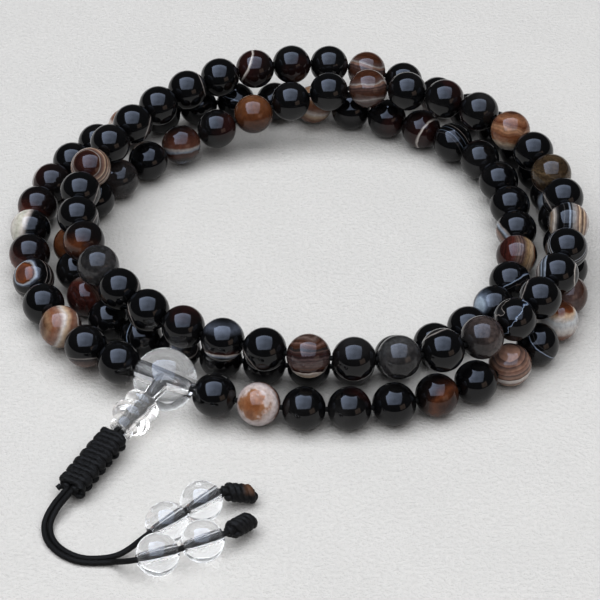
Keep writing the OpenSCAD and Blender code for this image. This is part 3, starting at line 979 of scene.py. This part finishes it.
def flat_knot_path(face, samples=44):
    """One working cord of a row of square knots: across one face, round an edge, and back.
    Points are (across, out, along) for the whole row, and a radius, which swells at the
    edges, where each loop goes round the other cord."""
    reach = SLIDER_HALF_W - LOOP_R
    out = SLIDER_HALF_H - WORKING_R
    margin = LOOP_R + 0.05 * MM
    usable = SLIDER_L - 2 * margin
    turns = 2 * KNOTS - 1
    points, radii = [], []
    for i in range(turns * samples + 1):
        t = i / samples
        swing = math.cos(math.pi * t)
        across = reach * math.copysign(min(1.0, 1.06 * abs(swing) ** 0.8), swing)
        edge = abs(swing) ** 4
        height = face * (out * (1 - edge) + 0.45 * MM * edge)
        lean = 0.22 * MM * math.sin(2 * math.pi * t) * face
        points.append((across, height, margin + usable * t / turns + lean))
        radii.append(WORKING_R + (LOOP_R - WORKING_R) * abs(swing) ** 3)
    return points, radii


def slider_knot():
    side = np.array(level_side(SLIDER_DIR))
    ahead = np.array(SLIDER_DIR)
    up = np.cross(side, ahead)
    start = np.array(SLIDER_FROM)

    def placed(points):
        return [start + p[0] * side + p[1] * up + p[2] * ahead for p in points]

    parts = Parts()
    for face in (1, -1):
        path, radii = flat_knot_path(face)
        path = np.array(placed(path))
        far = np.concatenate([[0], np.cumsum(np.linalg.norm(np.diff(path, axis=0), axis=1))])
        line, along = evenly(path, 0.12 * MM)
        add_tube(parts, line, along, np.interp(along, far, radii), 24, **KNOT_LAY)
    # two short bundles fill the edges between the loops, so that no light comes through
    for s in (-1, 1):
        fill = [(s * 0.9 * MM, 0.0, 0.5 * MM), (s * 0.9 * MM, 0.0, SLIDER_L - 0.5 * MM)]
        line, along = evenly(placed(fill), 0.5 * MM)
        add_tube(parts, line, along, 0.95 * MM, 12, **FILL_LAY)
    # the cut and melted ends of the working cords, tucked in at the far edge
    for s, back in ((1, 0.9), (-1, 1.6)):
        stub = [
            (s * 2.0 * MM, -0.2 * MM, SLIDER_L - back * MM),
            (s * 2.35 * MM, -0.5 * MM, SLIDER_L - (back - 0.7) * MM),
        ]
        line, along = evenly(placed(stub), 0.2 * MM)
        add_tube(parts, line, along, 0.55 * MM, 12, **FILL_LAY)
    piece = parts.build("slider_square_knots", [KNOT_CORD])
    place_piece(piece, "slider_knot", "slider")


slider_knot()


def end_knot(name, node, end, burnt):
    """A stopper: the cord's own end wound four times round itself and pulled tight."""
    direction = (end[2] - end[1]).normalized()
    start = end[1] + direction * 0.3 * MM
    axes = axes_for(direction)
    wrap_r, outer_r = 0.80 * MM, 1.76 * MM
    turns, samples = 4.3, 260
    points = []
    for i in range(samples + 1):
        t = i / samples
        angle = 2 * math.pi * turns * t
        swell = 1 - 0.08 * abs(2 * t - 1) ** 3
        radius = (outer_r - wrap_r) * swell
        lean = 0.30 * MM * math.sin(angle + 0.6)
        z = wrap_r * 1.3 + (KNOT_L - 2.75 * wrap_r) * t + lean
        points.append((radius * math.cos(angle), radius * math.sin(angle), z))
    placed = np.array(points) @ axes.T + np.array(start)
    parts = Parts()
    line, along = evenly(placed, 0.12 * MM)
    add_tube(parts, line, along, wrap_r, 24, **KNOT_LAY)
    core = np.array([(0, 0, 0.1 * MM), (0, 0, KNOT_L - 0.9 * MM)]) @ axes.T + np.array(start)
    line, along = evenly(core, 0.3 * MM)
    add_tube(parts, line, along, 1.0 * MM, 16, **CORE_LAY)
    tail = np.array([
        (0.2 * MM, 0.1 * MM, KNOT_L - 2.0 * MM), (0.3 * MM, 0.25 * MM, KNOT_L - 0.9 * MM),
        (0.25 * MM, 0.3 * MM, KNOT_L - 0.05 * MM),
    ]) @ axes.T + np.array(start)
    line, along = rounded(tail, 0.12 * MM, 2)
    swell = 0.95 * MM * np.sqrt(np.clip(1.02 - np.linspace(0, 1, len(line)) ** 5, 0.03, 1))
    add_tube(parts, line, along, swell, 16, **CORE_LAY)
    piece = parts.build(name, [BURNT_CORD if burnt else KNOT_CORD])
    if burnt:
        place = np.array([v.co for v in piece.data.vertices])
        far = (place - np.array(start)) @ np.array(direction)
        lift = place[:, 2] - (np.array(start)[2] + far * direction.z)
        glow = np.clip((far - 3.4 * MM) / (1.0 * MM), 0, 1) * np.clip(lift / MM - 0.6, 0, 1)
        layer = piece.data.attributes.new("burnt", "FLOAT", "POINT")
        layer.data.foreach_set("value", glow.astype(np.float32))
    return place_piece(piece, node, "guru_and_tail")


rear_knot = end_knot("end_knot_rear_wraps", "end_knot_rear", REAR_END, True)
front_knot = end_knot("end_knot_front_wraps", "end_knot_front", FRONT_END, False)


# ---- Table, light and sky
def floor():
    half = 1.5
    verts = [(-half, -half, 0), (half, -half, 0), (half, half, 0), (-half, half, 0)]
    material, tree, shader = new_material("table_white")
    place = add_node(tree, "ShaderNodeTexCoord").outputs["Object"]
    grit = noise(tree, place, 1300.0, 4.0, Roughness=0.6)
    broad = noise(tree, place, 60.0, 3.0)
    tone = math_node(tree, "ADD", grit, math_node(tree, "MULTIPLY", broad, 0.3))
    base = ramp(tree, tone, [(0.30, (0.42, 0.409, 0.397)), (0.95, (0.485, 0.470, 0.456))])
    tree.links.new(base, shader.inputs["Base Color"])
    add_bump(tree, shader, grit, 0.8, 0.5 * MM)
    shader.inputs["Roughness"].default_value = 0.75
    make_object("table", verts, [(0, 1, 2, 3)], [material])


def mirror_rays(tree):
    """1 where light is seen in a polished stone, and 0 where it lights or goes through one."""
    rays = tree.nodes.new("ShaderNodeLightPath")
    through = math_node(tree, "SUBTRACT", 1.0, rays.outputs["Is Transmission Ray"])
    return math_node(tree, "MULTIPLY", rays.outputs["Is Glossy Ray"], through)


def glow_panel(name, azimuth, elevation, spin, distance, size, light, mirrored, fade):
    """A soft panel that faces the mala, given by where it stands round it. light is the colour
    and strength it lights with, mirrored those it has in the polished stones, where it is
    brightest towards one corner, by fade, as a window on an overcast sky is."""
    az, el = math.radians(azimuth), math.radians(elevation)
    out = Vector((math.sin(az) * math.cos(el), -math.cos(az) * math.cos(el), math.sin(el)))
    turn = out.to_track_quat("Z", "Y").to_matrix() @ Matrix.Rotation(math.radians(spin), 3, "Z")
    w, h = size[0] / 2, size[1] / 2
    corners = [(-w, -h), (w, -h), (w, h), (-w, h)]
    verts = [turn @ Vector((x, y, 0)) + out * distance for x, y in corners]
    material = bpy.data.materials.new(name)
    material.use_nodes = True
    tree = material.node_tree
    tree.nodes.clear()
    end = tree.nodes.new("ShaderNodeOutputMaterial")
    place = add_node(tree, "ShaderNodeTexCoord").outputs["Generated"]
    split = add_node(tree, "ShaderNodeSeparateXYZ", {0: place})
    cloud = add_node(tree, "ShaderNodeTexNoise", {"Vector": place, "Scale": 2.6}).outputs["Fac"]
    slope = math_node(tree, "SUBTRACT", split.outputs["Y"], split.outputs["X"])
    slope = math_node(tree, "ADD", slope, math_node(tree, "SUBTRACT", cloud, 0.5))
    level = math_node(tree, "ADD", math_node(tree, "MULTIPLY", slope, fade), 1.0)
    seen = math_node(tree, "MULTIPLY", math_node(tree, "MAXIMUM", level, 0.1), mirrored[1])
    soft = math_node(tree, "MULTIPLY", math_node(
        tree, "ADD", math_node(tree, "MULTIPLY", slope, 0.45), 1.0), light[1])
    lit = add_node(tree, "ShaderNodeEmission", {"Color": (*light[0], 1), "Strength": soft})
    shown = add_node(tree, "ShaderNodeEmission", {"Color": (*mirrored[0], 1), "Strength": seen})
    mix = add_node(tree, "ShaderNodeMixShader", {
        0: mirror_rays(tree), 1: lit.outputs["Emission"], 2: shown.outputs["Emission"],
    })
    tree.links.new(mix.outputs["Shader"], end.inputs["Surface"])
    panel = make_object(name, verts, [(0, 1, 2, 3)], [material])
    panel.visible_camera = False


def sky():
    """Soft white light from all round, which looks dim in the polished stones."""
    world = bpy.data.worlds.new("studio")
    bpy.context.scene.world = world
    world.use_nodes = True
    tree = world.node_tree
    tree.nodes.clear()
    out = tree.nodes.new("ShaderNodeOutputWorld")
    lit = {"Color": (0.95, 0.965, 1.0, 1), "Strength": 0.15}
    mirrored = {"Color": (0.9, 0.95, 1.0, 1), "Strength": 0.06}
    mix = add_node(tree, "ShaderNodeMixShader", {
        0: mirror_rays(tree),
        1: add_node(tree, "ShaderNodeBackground", lit).outputs["Background"],
        2: add_node(tree, "ShaderNodeBackground", mirrored).outputs["Background"],
    })
    tree.links.new(mix.outputs["Shader"], out.inputs["Surface"])


floor()
sky()
glow_panel(
    "window", -7, 76, 8, 1.4, (2.35, 2.3),
    ((0.95, 0.975, 1.0), 3.9), ((0.66, 0.77, 1.0), 3.6), 0.8,
)
glow_panel(
    "warm_bounce", 44, 16, 0, 1.0, (0.50, 0.40),
    ((1.0, 0.88, 0.82), 1.8), ((1.0, 0.76, 0.62), 0.95), 0.7,
)
